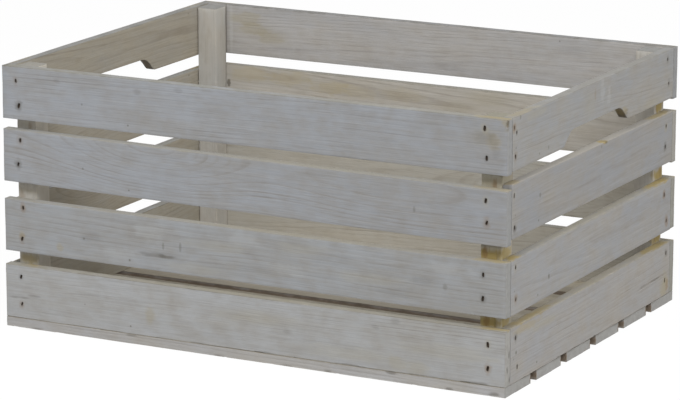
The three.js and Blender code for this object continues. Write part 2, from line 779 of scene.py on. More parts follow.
        # The top edge: a yellower wash painted darker as shade against the light from above, which each
        # board's rim shifts.
        if v == 2:
            on_rim = (across + mottle * (1.2 * MM)).rise(saw.half[v] - 1.6 * MM, saw.half[v] - 0.4 * MM)
            coats.append((on_rim * (0.75 + dab * 0.9), shifted(self.rim, figure.rim)))
        coats += [
            (end_grain * 0.85, shifted(self.sawn_end, figure.tone)),
            (end_grain * (0.04 + mottle * 0.35), self.grime),
            (self.specks(tree, local, mottle) * 0.6, self.grime),
            (raw * 0.8, self.raw),
        ]
        frayed = mottle + dab + fibre * 0.6
        for patch in patches:
            over = tuple(1 / (r * MM) for r in patch.reach)
            shift = tuple(-p / r for p, r in zip(patch.place, patch.reach))
            off = tree.vector("MULTIPLY_ADD", point, over, shift)
            away = tree.vector("LENGTH", off, output=1) + frayed * patch.ragged
            coats.append((away.rise(*PATCH_FADE, patch.share, 0.0), getattr(self, patch.tint.value)))
        for share, shade in coats:
            colour = tree.mix(share, colour, shade)

        height = 0.5 + fibre * 0.45 - late * 0.25 + streak * 0.25 + mottle * 0.25 - drag * 0.2
        rough = 0.80 + fibre * 0.10 - late * 0.06 + blotch * 0.05 + raw * 0.08
        tree.surface(colour, height, 0.3 * MM, Roughness=rough, Specular_IOR_Level=0.32)
        coat(piece, tree.owner)


@dataclass(frozen=True)
class StapleSteel:
    """Bright steel wire gone brown where it was driven through wet wash."""

    steel: Triple = (66, 62, 55)
    rust: Triple = (58, 43, 29)

    def material(self) -> bpy.types.Material:
        """Make the one material that all the staples share."""
        tree = new_tree("staple_steel")
        point, _ = tree.place()
        bloom = tree.cloud(point, (700.0, 700.0, 700.0), 2.0, 3.0)
        spots = (bloom + 0.12).rise(-0.05, 0.22)
        colour = tree.mix(spots, self.steel, self.rust)
        rough = 0.45 + spots * 0.4
        metal = 0.85 - spots * 0.7
        tree.surface(colour, bloom + 0.5, 0.1 * MM, Roughness=rough, Metallic=metal)
        return tree.owner


# ---- Staples ----


@dataclass(frozen=True)
class Driven:
    """Where one staple was driven, in millimetres along the board and above the floor.

    tilt is how far it leans, in degrees, and size how much of it shows.
    """

    along: float
    height: float
    tilt: float = 10.0
    size: float = 1.0


@dataclass
class StapleGun:
    """Makes the staples and the pits that they were driven into.

    The masters lie in the front wall's frame, at the origin: the crown upright, its legs towards
    +Y, and the board's face at Y 0.
    """

    crown: float = 5.4 * MM
    wire: Pair = (1.3 * MM, 0.8 * MM)
    leg: float = 3.0 * MM
    sunk: float = 1.7 * MM
    bend: float = 0.35 * MM
    pit: Triple = (3.3 * MM, 2.9 * MM, 6.6 * MM)
    pit_bend: float = 0.42
    pit_taper: Triple = (0.72, 1.0, 0.88)
    steel: StapleSteel = StapleSteel()
    masters: dict[str, Piece] = field(default_factory=dict)
    shade: bpy.types.Material | None = None

    def make_masters(self) -> None:
        """Model one staple and one pit, and mix the staples' material."""
        half = Vector((self.wire[0] / 2, 0.0, self.crown / 2))
        top = Vector((0.0, self.sunk, 0.0))
        staple = lay_block("staple_master", top - half, top + half + Vector((0.0, self.wire[1], 0.0)))
        edit(staple)
        for level in (-1, 1):
            bpy.ops.mesh.select_all(action="SELECT")
            cut = (0.0, 0.0, level * (self.crown / 2 - self.wire[0]))
            bpy.ops.mesh.bisect(plane_co=cut, plane_no=(0.0, 0.0, 1.0))
        inner = self.sunk + self.wire[1]
        at_end = self.crown / 2 - self.wire[0]

        def leg_foot(face: bmesh.types.BMFace) -> bool:
            """Whether a face is where a leg leaves the crown."""
            middle = face.calc_center_median()
            return face.normal.y > 0.9 and abs(middle.y - inner) < TOUCH and abs(middle.z) > at_end

        pick(staple, "FACE", leg_foot)
        bpy.ops.mesh.extrude_region_move(TRANSFORM_OT_translate={"value": (0.0, self.leg, 0.0)})
        runs = edge_runs(0, self.wire[0] / 2)
        pick(staple, "EDGE", lambda e: runs(e) and e.verts[0].co.y < self.sunk + TOUCH)
        bpy.ops.mesh.bevel(offset=self.bend, segments=2, affect="EDGES")
        clear_bench()

        width, deep, tall = self.pit
        reach = Vector((width / 2, deep, tall / 2))
        hollow = lay_block("pit_master", -reach, reach)
        edit(hollow)
        pick(hollow, "EDGE", edge_runs(1, deep))
        bpy.ops.mesh.bevel(offset=self.pit_bend * width, segments=3, affect="EDGES")
        pick(hollow, "FACE", lambda f: f.normal.y > 0.9)
        bpy.ops.transform.resize(value=self.pit_taper)
        clear_bench()
        self.masters = {"staple": staple, "pit": hollow}
        self.shade = self.steel.material()

    def put_away(self) -> None:
        """Remove the masters."""
        for master in self.masters.values():
            bpy.data.objects.remove(master)
        self.masters = {}

    def copies(self, kind: str, places: Iterable[Matrix]) -> list[Piece]:
        """Copy a master, staple or pit, to several places."""
        return [copy_to(self.masters[kind], kind, place) for place in places]

    def drive(self, name: str, places: Iterable[Matrix]) -> None:
        """Put staples into a board as one piece.

        Args:
            name: the piece's name.
            places: where each staple goes.
        """
        piece = join(self.copies("staple", places), name)
        coat(piece, self.shade)
        shade_smooth(piece, 40.0)
        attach(piece, BODY)


# ---- Sawn timber ----


@dataclass(frozen=True)
class Chip:
    """A splinter gone from an edge: its middle and size in millimetres, and a turn in degrees."""

    place: Triple
    size: Triple
    turn: Triple = (0.0, 0.0, 0.0)


@dataclass
class Timber:
    """One sawn length of wood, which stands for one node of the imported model."""

    node: str
    run: Run
    slot: str
    finish: WashedPine
    seed: int
    outward: float = 1.0
    figure: Figure = field(default_factory=Figure)
    patches: list[Patch] = field(default_factory=list)
    chips: list[Chip] = field(default_factory=list)
    staples: list[Matrix] = field(default_factory=list)
    shy: float = 0.25 * MM
    arris: float = 0.9 * MM
    cell: Triple = (5.0 * MM, 2.8 * MM, 2.8 * MM)
    hollow: float = 0.5 * MM
    nick_count: int = 9
    roughness: float = 0.12

    def corners(self) -> tuple[Vector, Vector]:
        """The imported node's lowest and highest corners."""
        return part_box(self.node)

    def end_heights(self) -> tuple[Pair, Pair]:
        """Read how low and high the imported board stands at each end.

        Returns:
            The lowest and highest place across the near end, and the same at the far end.
        """
        along, across, _ = self.run.value
        low, high = self.corners()
        reach = 3.0 * MM
        points = [vertex.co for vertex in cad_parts[self.node].data.vertices]
        near = [p[across] for p in points if p[along] < low[along] + reach]
        far = [p[across] for p in points if p[along] > high[along] - reach]
        return (min(near), max(near)), (min(far), max(far))

    def rough_out(self) -> Piece:
        """Saw the length to size, with each end at its own height.

        Returns:
            The plain board.
        """
        along, across, _ = self.run.value
        low, high = self.corners()
        low[along] += self.shy
        high[along] -= self.shy
        (near_low, near_high), (far_low, far_high) = self.end_heights()
        low[across], high[across] = near_low, near_high
        board = lay_block(self.node + "_timber", low, high)
        edit(board)
        middle = (low[along] + high[along]) / 2
        split = (near_low + near_high) / 2
        for upper, shift in ((False, far_low - near_low), (True, far_high - near_high)):
            pick(board, "VERT", lambda p: p.co[along] > middle and (p.co[across] > split) == upper)
            move = [0.0, 0.0, 0.0]
            move[across] = shift
            bpy.ops.transform.translate(value=move)
        clear_bench()
        return board

    def break_arrises(self, board: Piece) -> None:
        """Round the sharp edges a little, as handling does."""
        edit(board)
        bpy.ops.mesh.select_mode(type="EDGE")
        bpy.ops.mesh.edges_select_sharp(sharpness=math.radians(30))
        bpy.ops.mesh.bevel(offset=self.arris, segments=2, affect="EDGES")
        clear_bench()

    def divide(self, board: Piece) -> None:
        """Lay a grid over the faces, fine enough to be worn."""
        low, high = self.corners()
        edit(board)
        for axis, cell in zip(self.run.value, self.cell):
            length = high[axis] - low[axis]
            cuts = round(length / cell) - 1
            pick(board, "EDGE", edge_runs(axis, length * 0.5))
            bpy.ops.mesh.subdivide(number_cuts=cuts)
        clear_bench()

    def shape(self, board: Piece) -> None:
        """Cut what this kind of board has cut out of it; a plain board has nothing."""

    def wear(self, board: Piece) -> None:
        """Hollow the faces, first broadly and then finely: share, width, length and seed shift."""
        broad, fine = (1.0, 30.0 * MM, 160.0 * MM, 0), (0.5, 4.0 * MM, 30.0 * MM, 31)
        for share, wide, long, shift in (broad, fine):
            stretch = [wide] * 3
            stretch[self.run.value[0]] = long
            wear_back(board, self.hollow * share, tuple(stretch), self.seed + shift)

    def chip_cutters(self) -> list[Piece]:
        """Make a rough lump for each chip.

        Returns:
            The lumps, ready to be cut away.
        """
        lumps = []
        for count, chip in enumerate(self.chips + self.nicks()):
            clear_bench()
            bpy.ops.mesh.primitive_ico_sphere_add(
                subdivisions=2,
                radius=0.5,
                location=Vector(chip.place) * MM,
                rotation=[math.radians(a) for a in chip.turn],
                scale=Vector(chip.size) * MM,
            )
            lump = bpy.context.active_object
            settle(lump)
            edit(lump)
            bpy.ops.mesh.select_all(action="SELECT")
            rough = self.roughness * min(chip.size) * MM
            bpy.ops.transform.vertex_random(offset=rough, seed=self.seed + count)
            clear_bench()
            lumps.append(lump)
        return lumps

    def halos(self) -> list[Patch]:
        """Paint shade into each staple's pit and stain the wash round it, more round some than others.

        Returns:
            Two patches a staple.
        """
        chance = random.Random(self.seed)
        found = []
        for place in self.staples:
            spot = tuple(place.translation / MM)
            sunk = tuple((place @ Vector((0.0, HOLE_DEPTH, 0.0))) / MM)
            tint = chance.choice((THIN, RUST, GRIME))
            found.append(Patch(tint, spot, HALO, chance.uniform(0.10, 0.50)))
            # painted shade deep in the staple's pit
            found.append(Patch(PIT, sunk, HOLE, 0.9, 0.2))
        return found

    def nicks(self) -> list[Chip]:
        """Knock small splinters out of the long edges.

        Returns:
            The splinters, the same each time.
        """
        chance = random.Random(self.seed + NICK_SEED)
        along, across, through = self.run.value
        saw = self.sawing()
        centre, half = saw.centre, saw.half
        found = []
        stretch = 2 * half[along] / self.nick_count
        for number in range(self.nick_count):
            spot = [0.0, 0.0, 0.0]
            way = (number + chance.uniform(0.25, 0.75)) * stretch - half[along]
            spot[along] = centre[along] + way
            spot[across] = centre[across] + chance.choice((-1, 1)) * half[across] + way * saw.slope
            spot[through] = centre[through] + chance.choice((-1, 1)) * half[through]
            size = [chance.uniform(1.0, 2.4)] * 3
            size[along] = chance.uniform(0.1, 0.4) * stretch / MM
            found.append(Chip(tuple(v / MM for v in spot), tuple(size)))
        return found

    def build(self, gun: StapleGun) -> None:
        """Make the piece, staple it and dress it.

        Args:
            gun: makes the staples and their pits.
        """
        board = self.rough_out()
        self.shape(board)
        self.break_arrises(board)
        self.divide(board)
        self.wear(board)
        carve(board, self.chip_cutters() + gun.copies("pit", self.staples))
        shade_smooth(board, 35.0)
        if self.staples:
            gun.drive(self.node + "_staples", self.staples)
        self.finish.dress(board, self.sawing(), self.figure, self.patches + self.halos())
        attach(board, BODY)
        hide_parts(self.node)
        log.info("%s: %d faces, %d staples", board.name, len(board.data.polygons), len(self.staples))

    def sawing(self) -> Sawing:
        """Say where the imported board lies, for the finish."""
        low, high = self.corners()
        (near_low, near_high), (far_low, far_high) = self.end_heights()
        along, across, _ = self.run.value
        centre, half = (low + high) / 2, (high - low) / 2
        near, far = (near_low + near_high) / 2, (far_low + far_high) / 2
        centre[across] = (near + far) / 2
        half[across] = (near_high - near_low + far_high - far_low) / 4
        slope = (far - near) / (high[along] - low[along])
        return Sawing(self.run, centre, half, slope, self.outward, self.seed * SEED_STEP)


@dataclass
class HandleBoard(Timber):
    """A top end board with a hand-hold sawn out of its lower edge."""

    width: float = 169.0 * MM
    rise: float = 16.0 * MM
    run_out: float = 28.5 * MM
    corner_ease: float = 15.5 * MM
    lip_ease: float = 6.0 * MM

    def outline(self, edge: float) -> list[tuple[Pair, Pair, Pair]]:
        """List the hand-hold's corners along Y and Z, each with the handles before and after it.

        Args:
            edge: how high the board's lower edge lies.

        Returns:
            A point, its left handle and its right handle, six times over.
        """
        half, top = self.width / 2, edge + self.rise
        corner, below = half - self.run_out, edge - self.rise
        return [
            ((-half, edge), (-half, edge), (self.lip_ease - half, edge)),
            ((-corner, top), (-corner - self.corner_ease, top), (-corner, top)),
            ((corner, top), (corner, top), (corner + self.corner_ease, top)),
            ((half, edge), (half - self.lip_ease, edge), (half, edge)),
            ((half, below), (half, below), (half, below)),
            ((-half, below), (-half, below), (-half, below)),
        ]

    def shape(self, board: Piece) -> None:
        """Saw the hand-hold out along its curve."""
        low, high = self.corners()
        (near_low, _), (far_low, _) = self.end_heights()
        corners = self.outline((near_low + far_low) / 2)
        clear_bench()
        bpy.ops.curve.primitive_bezier_circle_add(location=(0.0, 0.0, 0.0))
        saw = bpy.context.active_object
        curve = saw.data
        curve.dimensions, curve.fill_mode, curve.resolution_u = "2D", "BOTH", 12
        curve.extrude = high.x - low.x
        spline = curve.splines[0]
        spline.bezier_points.add(len(corners) - len(spline.bezier_points))
        for bend, (spot, before, after) in zip(spline.bezier_points, corners):
            bend.handle_left_type = bend.handle_right_type = "FREE"
            bend.co, bend.handle_left, bend.handle_right = (*spot, 0.0), (*before, 0.0), (*after, 0.0)
        take(saw)
        bpy.ops.object.convert(target="MESH")
        stand = Matrix(((0, 0, 1, 0), (1, 0, 0, 0), (0, 1, 0, 0), (0, 0, 0, 1)))
        saw.matrix_world = Matrix.Translation(((low.x + high.x) / 2, 0.0, 0.0)) @ stand
        settle(saw)
        edit(saw)
        bpy.ops.mesh.select_all(action="SELECT")
        bpy.ops.mesh.remove_doubles(threshold=TOUCH)
        bpy.ops.mesh.normals_make_consistent(inside=False)
        clear_bench()
        carve(board, [saw])

    def divide(self, board: Piece) -> None:
        """Lay a grid over the faces with one cut after another, because the outline is not plain."""
        low, high = self.corners()
        edit(board)
        for axis, cell in zip(self.run.value, self.cell):
            count = round((high[axis] - low[axis]) / cell)
            normal = [0.0, 0.0, 0.0]
            normal[axis] = 1.0
            for step in range(1, count):
                where = low.lerp(high, step / count)
                bpy.ops.mesh.select_all(action="SELECT")
                bpy.ops.mesh.bisect(plane_co=where, plane_no=normal)
        clear_bench()


# ---- The walls, the posts and the floor ----

WALL_PINE = WashedPine()
END_PINE = replace(
    WALL_PINE,
    cool=(145, 146, 147),
    plain=(147, 145, 141),
    within=(146, 141, 129),
    rim=(134, 132, 126),
)
POST_PINE = replace(
    WALL_PINE,
    cool=(176, 175, 170),
    plain=(178, 174, 166),
    within=(174, 170, 162),
    # the posts' sawn ends, their tops among them, are painted darker as shade against the light from
    # above
    sawn_end=(122, 122, 119),
    outside=0.92,
)
FLOOR_PINE = replace(
    WALL_PINE,
    cool=(168, 167, 167),
    plain=(167, 165, 162),
    within=(172, 166, 152),
    sawn_end=(152, 151, 148),
)

# What the marks lie on. A rim's plane stands upright inside its wall's boards.
FRONT_FACE = Plane(Run.LENGTHWISE, -HALF_WIDTH)
FRONT_RIM = Plane(Run.LENGTHWISE, -213.0)
RIGHT_FACE = Plane(Run.CROSSWISE, HALF_LENGTH)
RIGHT_RIM = Plane(Run.CROSSWISE, 294.0)
BACK_FACE = Plane(Run.LENGTHWISE, HALF_WIDTH)
BACK_INSIDE = Plane(Run.LENGTHWISE, HALF_WIDTH - BOARD)
LEFT_FACE = Plane(Run.CROSSWISE, -HALF_LENGTH)
UNDERSIDE = Plane(Run.FLAT, 0.0)
FRONT_POSTS = Plane(Run.LENGTHWISE, BOARD - HALF_WIDTH)
RIGHT_POSTS = Plane(Run.CROSSWISE, HALF_LENGTH - BOARD)
LEFT_POSTS_INSIDE = Plane(Run.CROSSWISE, BOARD + POST - HALF_LENGTH)


def node_name(wall: Wall, course: Course) -> str:
    """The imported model's name for a wall's board."""
    if course is TOP and wall in (Wall.LEFT, Wall.RIGHT):
        return f"{wall.word}_handle_board"
    return f"{wall.word}_board_{course.value}"


@dataclass
class WallOfBoards:
    """One wall: four boards, one above another, stapled to the posts."""

    wall: Wall
    figures: dict[Course, Figure]
    patches: dict[Course, list[Patch]] = field(default_factory=dict)
    chips: dict[Course, list[Chip]] = field(default_factory=dict)
    driven: dict[Course, list[Driven]] = field(default_factory=dict)
    seed: int = 1

    def is_long(self) -> bool:
        """Whether the wall runs along the box."""
        return self.wall in (Wall.FRONT, Wall.BACK)

    def staple_places(self, course: Course) -> list[Matrix]:
        """Turn the driven places of a course into matrices on the wall's outer face.

        Args:
            course: which board.

        Returns:
            One matrix a staple.
        """
        low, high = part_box(node_name(self.wall, course))
        places = []
        for one in self.driven.get(course, []):
            along, height = one.along * MM, one.height * MM
            spot = {
                Wall.FRONT: (along, low.y, height),
                Wall.BACK: (along, high.y, height),
                Wall.LEFT: (low.x, along, height),
                Wall.RIGHT: (high.x, along, height),
            }[self.wall]
            turn = Matrix.Rotation(self.wall.turn, 4, "Z")
            tilt = Matrix.Rotation(math.radians(one.tilt), 4, "Y")
            size = Matrix.Diagonal((one.size, 1.0, one.size, 1.0))
            places.append(Matrix.Translation(spot) @ turn @ tilt @ size)
        return places

    def board(self, course: Course) -> Timber:
        """Describe one board of the wall.

        Args:
            course: which board.

        Returns:
            The board, ready to be built.
        """
        long = self.is_long()
        kind = HandleBoard if course is TOP and not long else Timber
        return kind(
            node=node_name(self.wall, course),
            run=Run.LENGTHWISE if long else Run.CROSSWISE,
            slot="washed_board" if long else "washed_end_board",
            finish=WALL_PINE if long else END_PINE,
            seed=self.seed * 10 + list(Course).index(course),
            outward=-1.0 if self.wall in (Wall.FRONT, Wall.LEFT) else 1.0,
            figure=self.figures[course],
            patches=self.patches.get(course, []),
            chips=self.chips.get(course, []),
            staples=self.staple_places(course),
            arris=(0.2 if course is BOTTOM else 0.65) * MM,
            shy=0.1 * MM,
        )

    def build(self, gun: StapleGun) -> None:
        """Build the wall's four boards."""
        for course in Course:
            self.board(course).build(gun)


@dataclass
class CornerPosts:
    """The four posts inside the corners."""

    seed: int = 71
    figures: dict[str, Figure] = field(default_factory=dict)
    patches: dict[str, list[Patch]] = field(default_factory=dict)

    def build(self, gun: StapleGun) -> None:
        """Build the four posts."""
        for count, corner in enumerate(("front_left", "front_right", "back_left", "back_right")):
            Timber(
                node=f"post_{corner}",
                run=Run.UPRIGHT,
                slot="washed_post",
                finish=POST_PINE,
                seed=self.seed + count,
                outward=-1.0,
                figure=self.figures[corner],
                patches=self.patches[corner],
                nick_count=4,
            ).build(gun)


@dataclass
class SlattedFloor:
    """Six floor boards with gaps between them, stapled from below."""

    count: int = 6
    seed: int = 91
    inset: float = 5.5 * MM
    pair: float = 36.0 * MM

    def staple_places(self, low: Vector, high: Vector) -> list[Matrix]:
        """Find the staples under one board: two at each end, into the end boards' lower edges."""
        middle = (low.y + high.y) / 2
        down = Matrix.Rotation(math.radians(90), 4, "X")
        places = []
        for x in (low.x + self.inset, high.x - self.inset):
            for side in (-0.5, 0.5):
                spot = (x, middle + side * self.pair, low.z)
                places.append(Matrix.Translation(spot) @ down)
        return places

    def stains_and_shade_of(self, number: int, low: Vector, high: Vector) -> list[Patch]:
        """Stain the sides that look into the gaps, paint shade low in the gaps and on the tops beside
        them, and mark the underside and the front edge.

        Args:
            number: which board, counted from the front.
            low: its lowest corner.
            high: its highest corner.

        Returns:
            The board's patches.
        """
        sides = [y / MM for y, inner in ((low.y, number > 1), (high.y, number < self.count)) if inner]
        # What shows, how high it lies, how far it goes across and up, its strength and raggedness.
        gap_stains_and_shade = (
            (RUST, 5.0, 1.8, 6.4, 0.65, 0.5),
            # painted shade on the top beside each gap
            (GRIME, 11.0, 30.0, 3.0, 0.32, 0.5),
            # painted shade low in each gap
            (GRIME, 4.0, 1.8, 5.6, 0.3, 0.8),
        )
        found = [
            Patch(tint, (0.0, y, height), (3000.0, across, up), share, ragged)
            for tint, height, across, up, share, ragged in gap_stains_and_shade
            for y in sides
        ]
        chance = random.Random(number)
        centre = (low.y + high.y) / 2 / MM
        for tint, share in ((GRIME, 0.3), (THIN, 0.5), (GRIME, 0.2), (PALE, 0.3)):
            place = (chance.uniform(-270.0, 270.0), centre + chance.uniform(-24.0, 24.0))
            reach = (chance.uniform(16.0, 70.0), chance.uniform(4.0, 10.0))
            found += UNDERSIDE.marks((tint, *reach, share, place))
        if number == 1:
            found += FRONT_FACE.marks(
                (GRIME, 9, 1.6, 0.4, (-262, 1), (-140, 9.5), (-35, 1), (48, 0.6)),
                (GRIME, 6, 2.4, 0.5, (96, 1), (171, 10), (236, 1), (288, 3)),
            )
        return found

    def build(self, gun: StapleGun) -> None:
        """Build the six boards."""
        for number in range(1, self.count + 1):
            node = f"floor_board_{number}"
            low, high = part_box(node)
            Timber(
                node=node,
                run=Run.FLAT,
                slot="washed_floor",
                finish=FLOOR_PINE,
                seed=self.seed + number,
                outward=-1.0,
                figure=Figure(pith=(number * 7.0 - 20.0, -30.0), lean=18.0 - number * 6.0),
                patches=self.stains_and_shade_of(number, low, high),
                staples=self.staple_places(low, high),
                shy=0.1 * MM,
                arris=0.2 * MM,
                nick_count=14,
            ).build(gun)


# ---- What each board shows ----


def driven(*places: Pair, tilt: float = 10.0, size: float = 0.88) -> list[Driven]:
    """List staples by their places, each leaning a little differently and driven more or less deep."""
    return [
        Driven(x, z, tilt + 15.0 * math.sin(9.0 * x + z), size + 0.16 * math.sin(5.0 * x + 7.0 * z))
        for x, z in places
    ]


def scattered(wall: Wall, seed: int) -> dict[Course, list[Driven]]:
    """Scatter the staples of a wall that the picture doesn't show, two at each board's end.

    Args:
        wall: which wall.
        seed: makes it the same each time.

    Returns:
        The staples of each course.
    """
    chance = random.Random(seed)
    inset = 277.0 if wall is Wall.BACK else 196.0
    found = {}
    for course in Course:
        low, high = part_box(node_name(wall, course))
        found[course] = [
            Driven(
                side * inset + chance.uniform(-4.0, 4.0),
                base / MM + lift + chance.uniform(-4.0, 4.0),
                chance.uniform(-4.0, 20.0),
                chance.uniform(0.7, 1.05),
            )
            for side in (-1, 1)
            for base, lift in ((low.z, 18.0), (high.z, -15.0))
        ]
    return found


def weathered(wall: Wall, seed: int) -> dict[Course, list[Patch]]:
    """Weather the outer face of a wall that the picture doesn't show as much as the ones it does.

    Args:
        wall: which wall, the back or the left one.
        seed: makes it the same each time.

    Returns:
        The marks of each course.
    """
    chance = random.Random(seed)
    face, half = (BACK_FACE, 285.0) if wall is Wall.BACK else (LEFT_FACE, 195.0)
    kinds = (
        (THIN, 44.0, 8.0, 0.3),
        (THIN, 12.0, 10.0, 0.45),
        (GRIME, 26.0, 4.0, 0.3),
        (GRIME, 5.0, 4.0, 0.4),
        (PALE, 22.0, 9.0, 0.18),
    )
    found = {}
    for course in Course:
        low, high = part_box(node_name(wall, course))
        base, top = low.z / MM, high.z / MM
        marks = []
        for tint, along, up, share in kinds:
            place = (chance.uniform(-half, half), chance.uniform(base + 6.0, top - 6.0))
            size = (along * chance.uniform(0.6, 1.3), up * chance.uniform(0.6, 1.2))
            marks += face.marks((tint, *size, share * chance.uniform(0.6, 1.0), place))
        for side in (-1, 1):
            strength = chance.uniform(0.3, 0.8) * (0.3 if course is TOP else 1.0)
            marks += face.marks((BARE, 30.0, 3.0, strength, (side * (half - 6.0), top)))
        found[course] = marks
    return found


def front_wall() -> WallOfBoards:
    """The long wall towards the camera."""
    return WallOfBoards(
        wall=Wall.FRONT,
        seed=1,
        figures={
            TOP: Figure(
                pith=(-75, -20), drift=20, lean=-12, sway=8, ring=4.6, contrast=0.62,
                rim=(-12, -10, -7), warm=(0, 1),
            ),
            UPPER: Figure(
                pith=(24, -32), drift=-30, lean=0, sway=5, ring=3.4, contrast=1.7,
                rim=(7, 8, 10), warm=(0, 1), swirls=(Swirl(-116, 92, 30), Swirl(156, 120, 12)),
            ),
            LOWER: Figure(
                pith=(40, -40), lean=10, ring=3.4, tone=(1.5, 1, -1), rim=(3, 3, 4), warm=(0.1, 0.8)
            ),
            BOTTOM: Figure(
                # its lighter tone is painted light bounced up from the floor
                pith=(-24, -30), lean=8, contrast=0.6, tone=(13, 11, 7), rim=(7, 7, 7), warm=(0.05, 0.8)
            ),
        },
        patches={
            TOP: [
                *FRONT_RIM.marks(
                    (BARE, 26, 2.4, 0.45, (282, 289.5)),
                    (THIN, 110, 1.6, 0.2, (180, 289.5)),
                ),
                Patch(BARE, (298, -219, 288), (5, 4, 9), 0.3),
                Patch(PIT, (299, -218.5, 285), (1.8, 3, 6), 0.4),
                Patch(GRIME, (-296, -216, 289), (5, 5, 3), 0.5),
                *FRONT_FACE.marks(
                    (THIN, 24, 11, 0.2, (273, 269)),
                    (BARE, 9, 11, 0.2, (283.5, 265)),
                    (GRIME, 18, 8, 0.2, (272, 269)),
                    (GRIME, 6, 9, 0.13, (283, 266), (286, 254)),
                    (GRIME, 5, 3, 0.18, (-81.2, 282), (-231.3, 278.3), (-131.1, 276.1)),
                ),
            ],
            UPPER: [
                *FRONT_RIM.marks(
                    (BARE, 30, 2.4, 0.38, (283, 216.6)),
                    (THIN, 150, 1.8, 0.35, (100, 218)),
                ),
                *FRONT_FACE.marks((GRIME, 2, 3.5, 0.35, (195.2, 185.3))),
            ],
            LOWER: [
                *FRONT_RIM.marks((BARE, 26, 2.6, 0.6, (283, 142)), (THIN, 190, 1.8, 0.35, (60, 142))),
                *FRONT_FACE.marks(
                    (GRIME, 26, 3.4, 0.4, (-105, 101)),
                    (GRIME, 12, 2.4, 0.5, (-99, 101)),
                    (PALE, 26, 12, 0.16, (-117, 125)),
                    (GRIME, 1.5, 5, 0.34, (-101.5, 112.5), (-80.7, 113.5)),
                    (GRIME, 16, 7, 0.16, (208.2, 113.3), (-190, 112)),
                    (GRIME, 3, 4, 0.3, (230.9, 108.7)),
                    (THIN, 44, 7, 0.22, (-30, 120), (66, 129), (-66, 92), (146, 107)),
                    (GRIME, 30, 6, 0.11, (14, 101), (104, 122), (178, 96)),
                    (PALE, 26, 7, 0.14, (44, 104), (-160, 98), (236, 128), (-4, 131)),
                    (THIN, 4.5, 5, 0.5, (-278.5, 104), (-230, 96)),
                ),
            ],
            BOTTOM: [
                *FRONT_RIM.marks(
                    (BARE, 26, 2.6, 0.65, (283, 70)),
                    (BARE, 18, 2.4, 0.6, (-268, 69)),
                    (THIN, 260, 1.8, 0.4, (0, 70.2)),
                ),
                *FRONT_FACE.marks(
                    (THIN, 7, 12, 0.45, (-118.5, 31.5)),
                    (THIN, 13, 9, 0.32, (176, 21), (200, 18)),
                    (THIN, 60, 9, 0.25, (120, 24), (235, 40), (10, 48)),
                    (GRIME, 9, 2, 0.3, (-290, 33.3), (-277.2, 33.7), (-265.6, 37.4)),
                    (GRIME, 7, 4, 0.2, (174.1, 64.6), (151, 56.3), (47.7, 37.5)),
                    (GRIME, 14, 1.2, 0.3, (-60, 11.6), (20, 11.6)),
                    (GRIME, 18, 1.4, 0.45, (120, 11.6), (205, 11.4), (262, 11.8)),
                ),
                *RIGHT_FACE.marks((PIT, 2, 5, 0.5, (-211, 44), (-215, 28), (-210, 17))),
            ],
        },
        driven={
            TOP: driven((-282.5, 273.4), (-279.3, 246.4), (273.5, 278.0), (276.1, 247.5)),
            UPPER: driven((-278.3, 208.6), (-281.2, 181.9), (275.5, 203.6), (276.8, 181.0)),
            LOWER: driven((-276.2, 134.3), (-278.3, 99.6), (273.5, 126.5), (273.2, 101.4)),
            BOTTOM: driven((-280.6, 56.8), (-280.0, 26.6), (279.4, 53.8), (279.6, 28.6)),
        },
        chips={TOP: [Chip((299.6, -218.6, 284.5), (3.4, 4.4, 10.0), (0.0, 12.0, 20.0))]},
    )


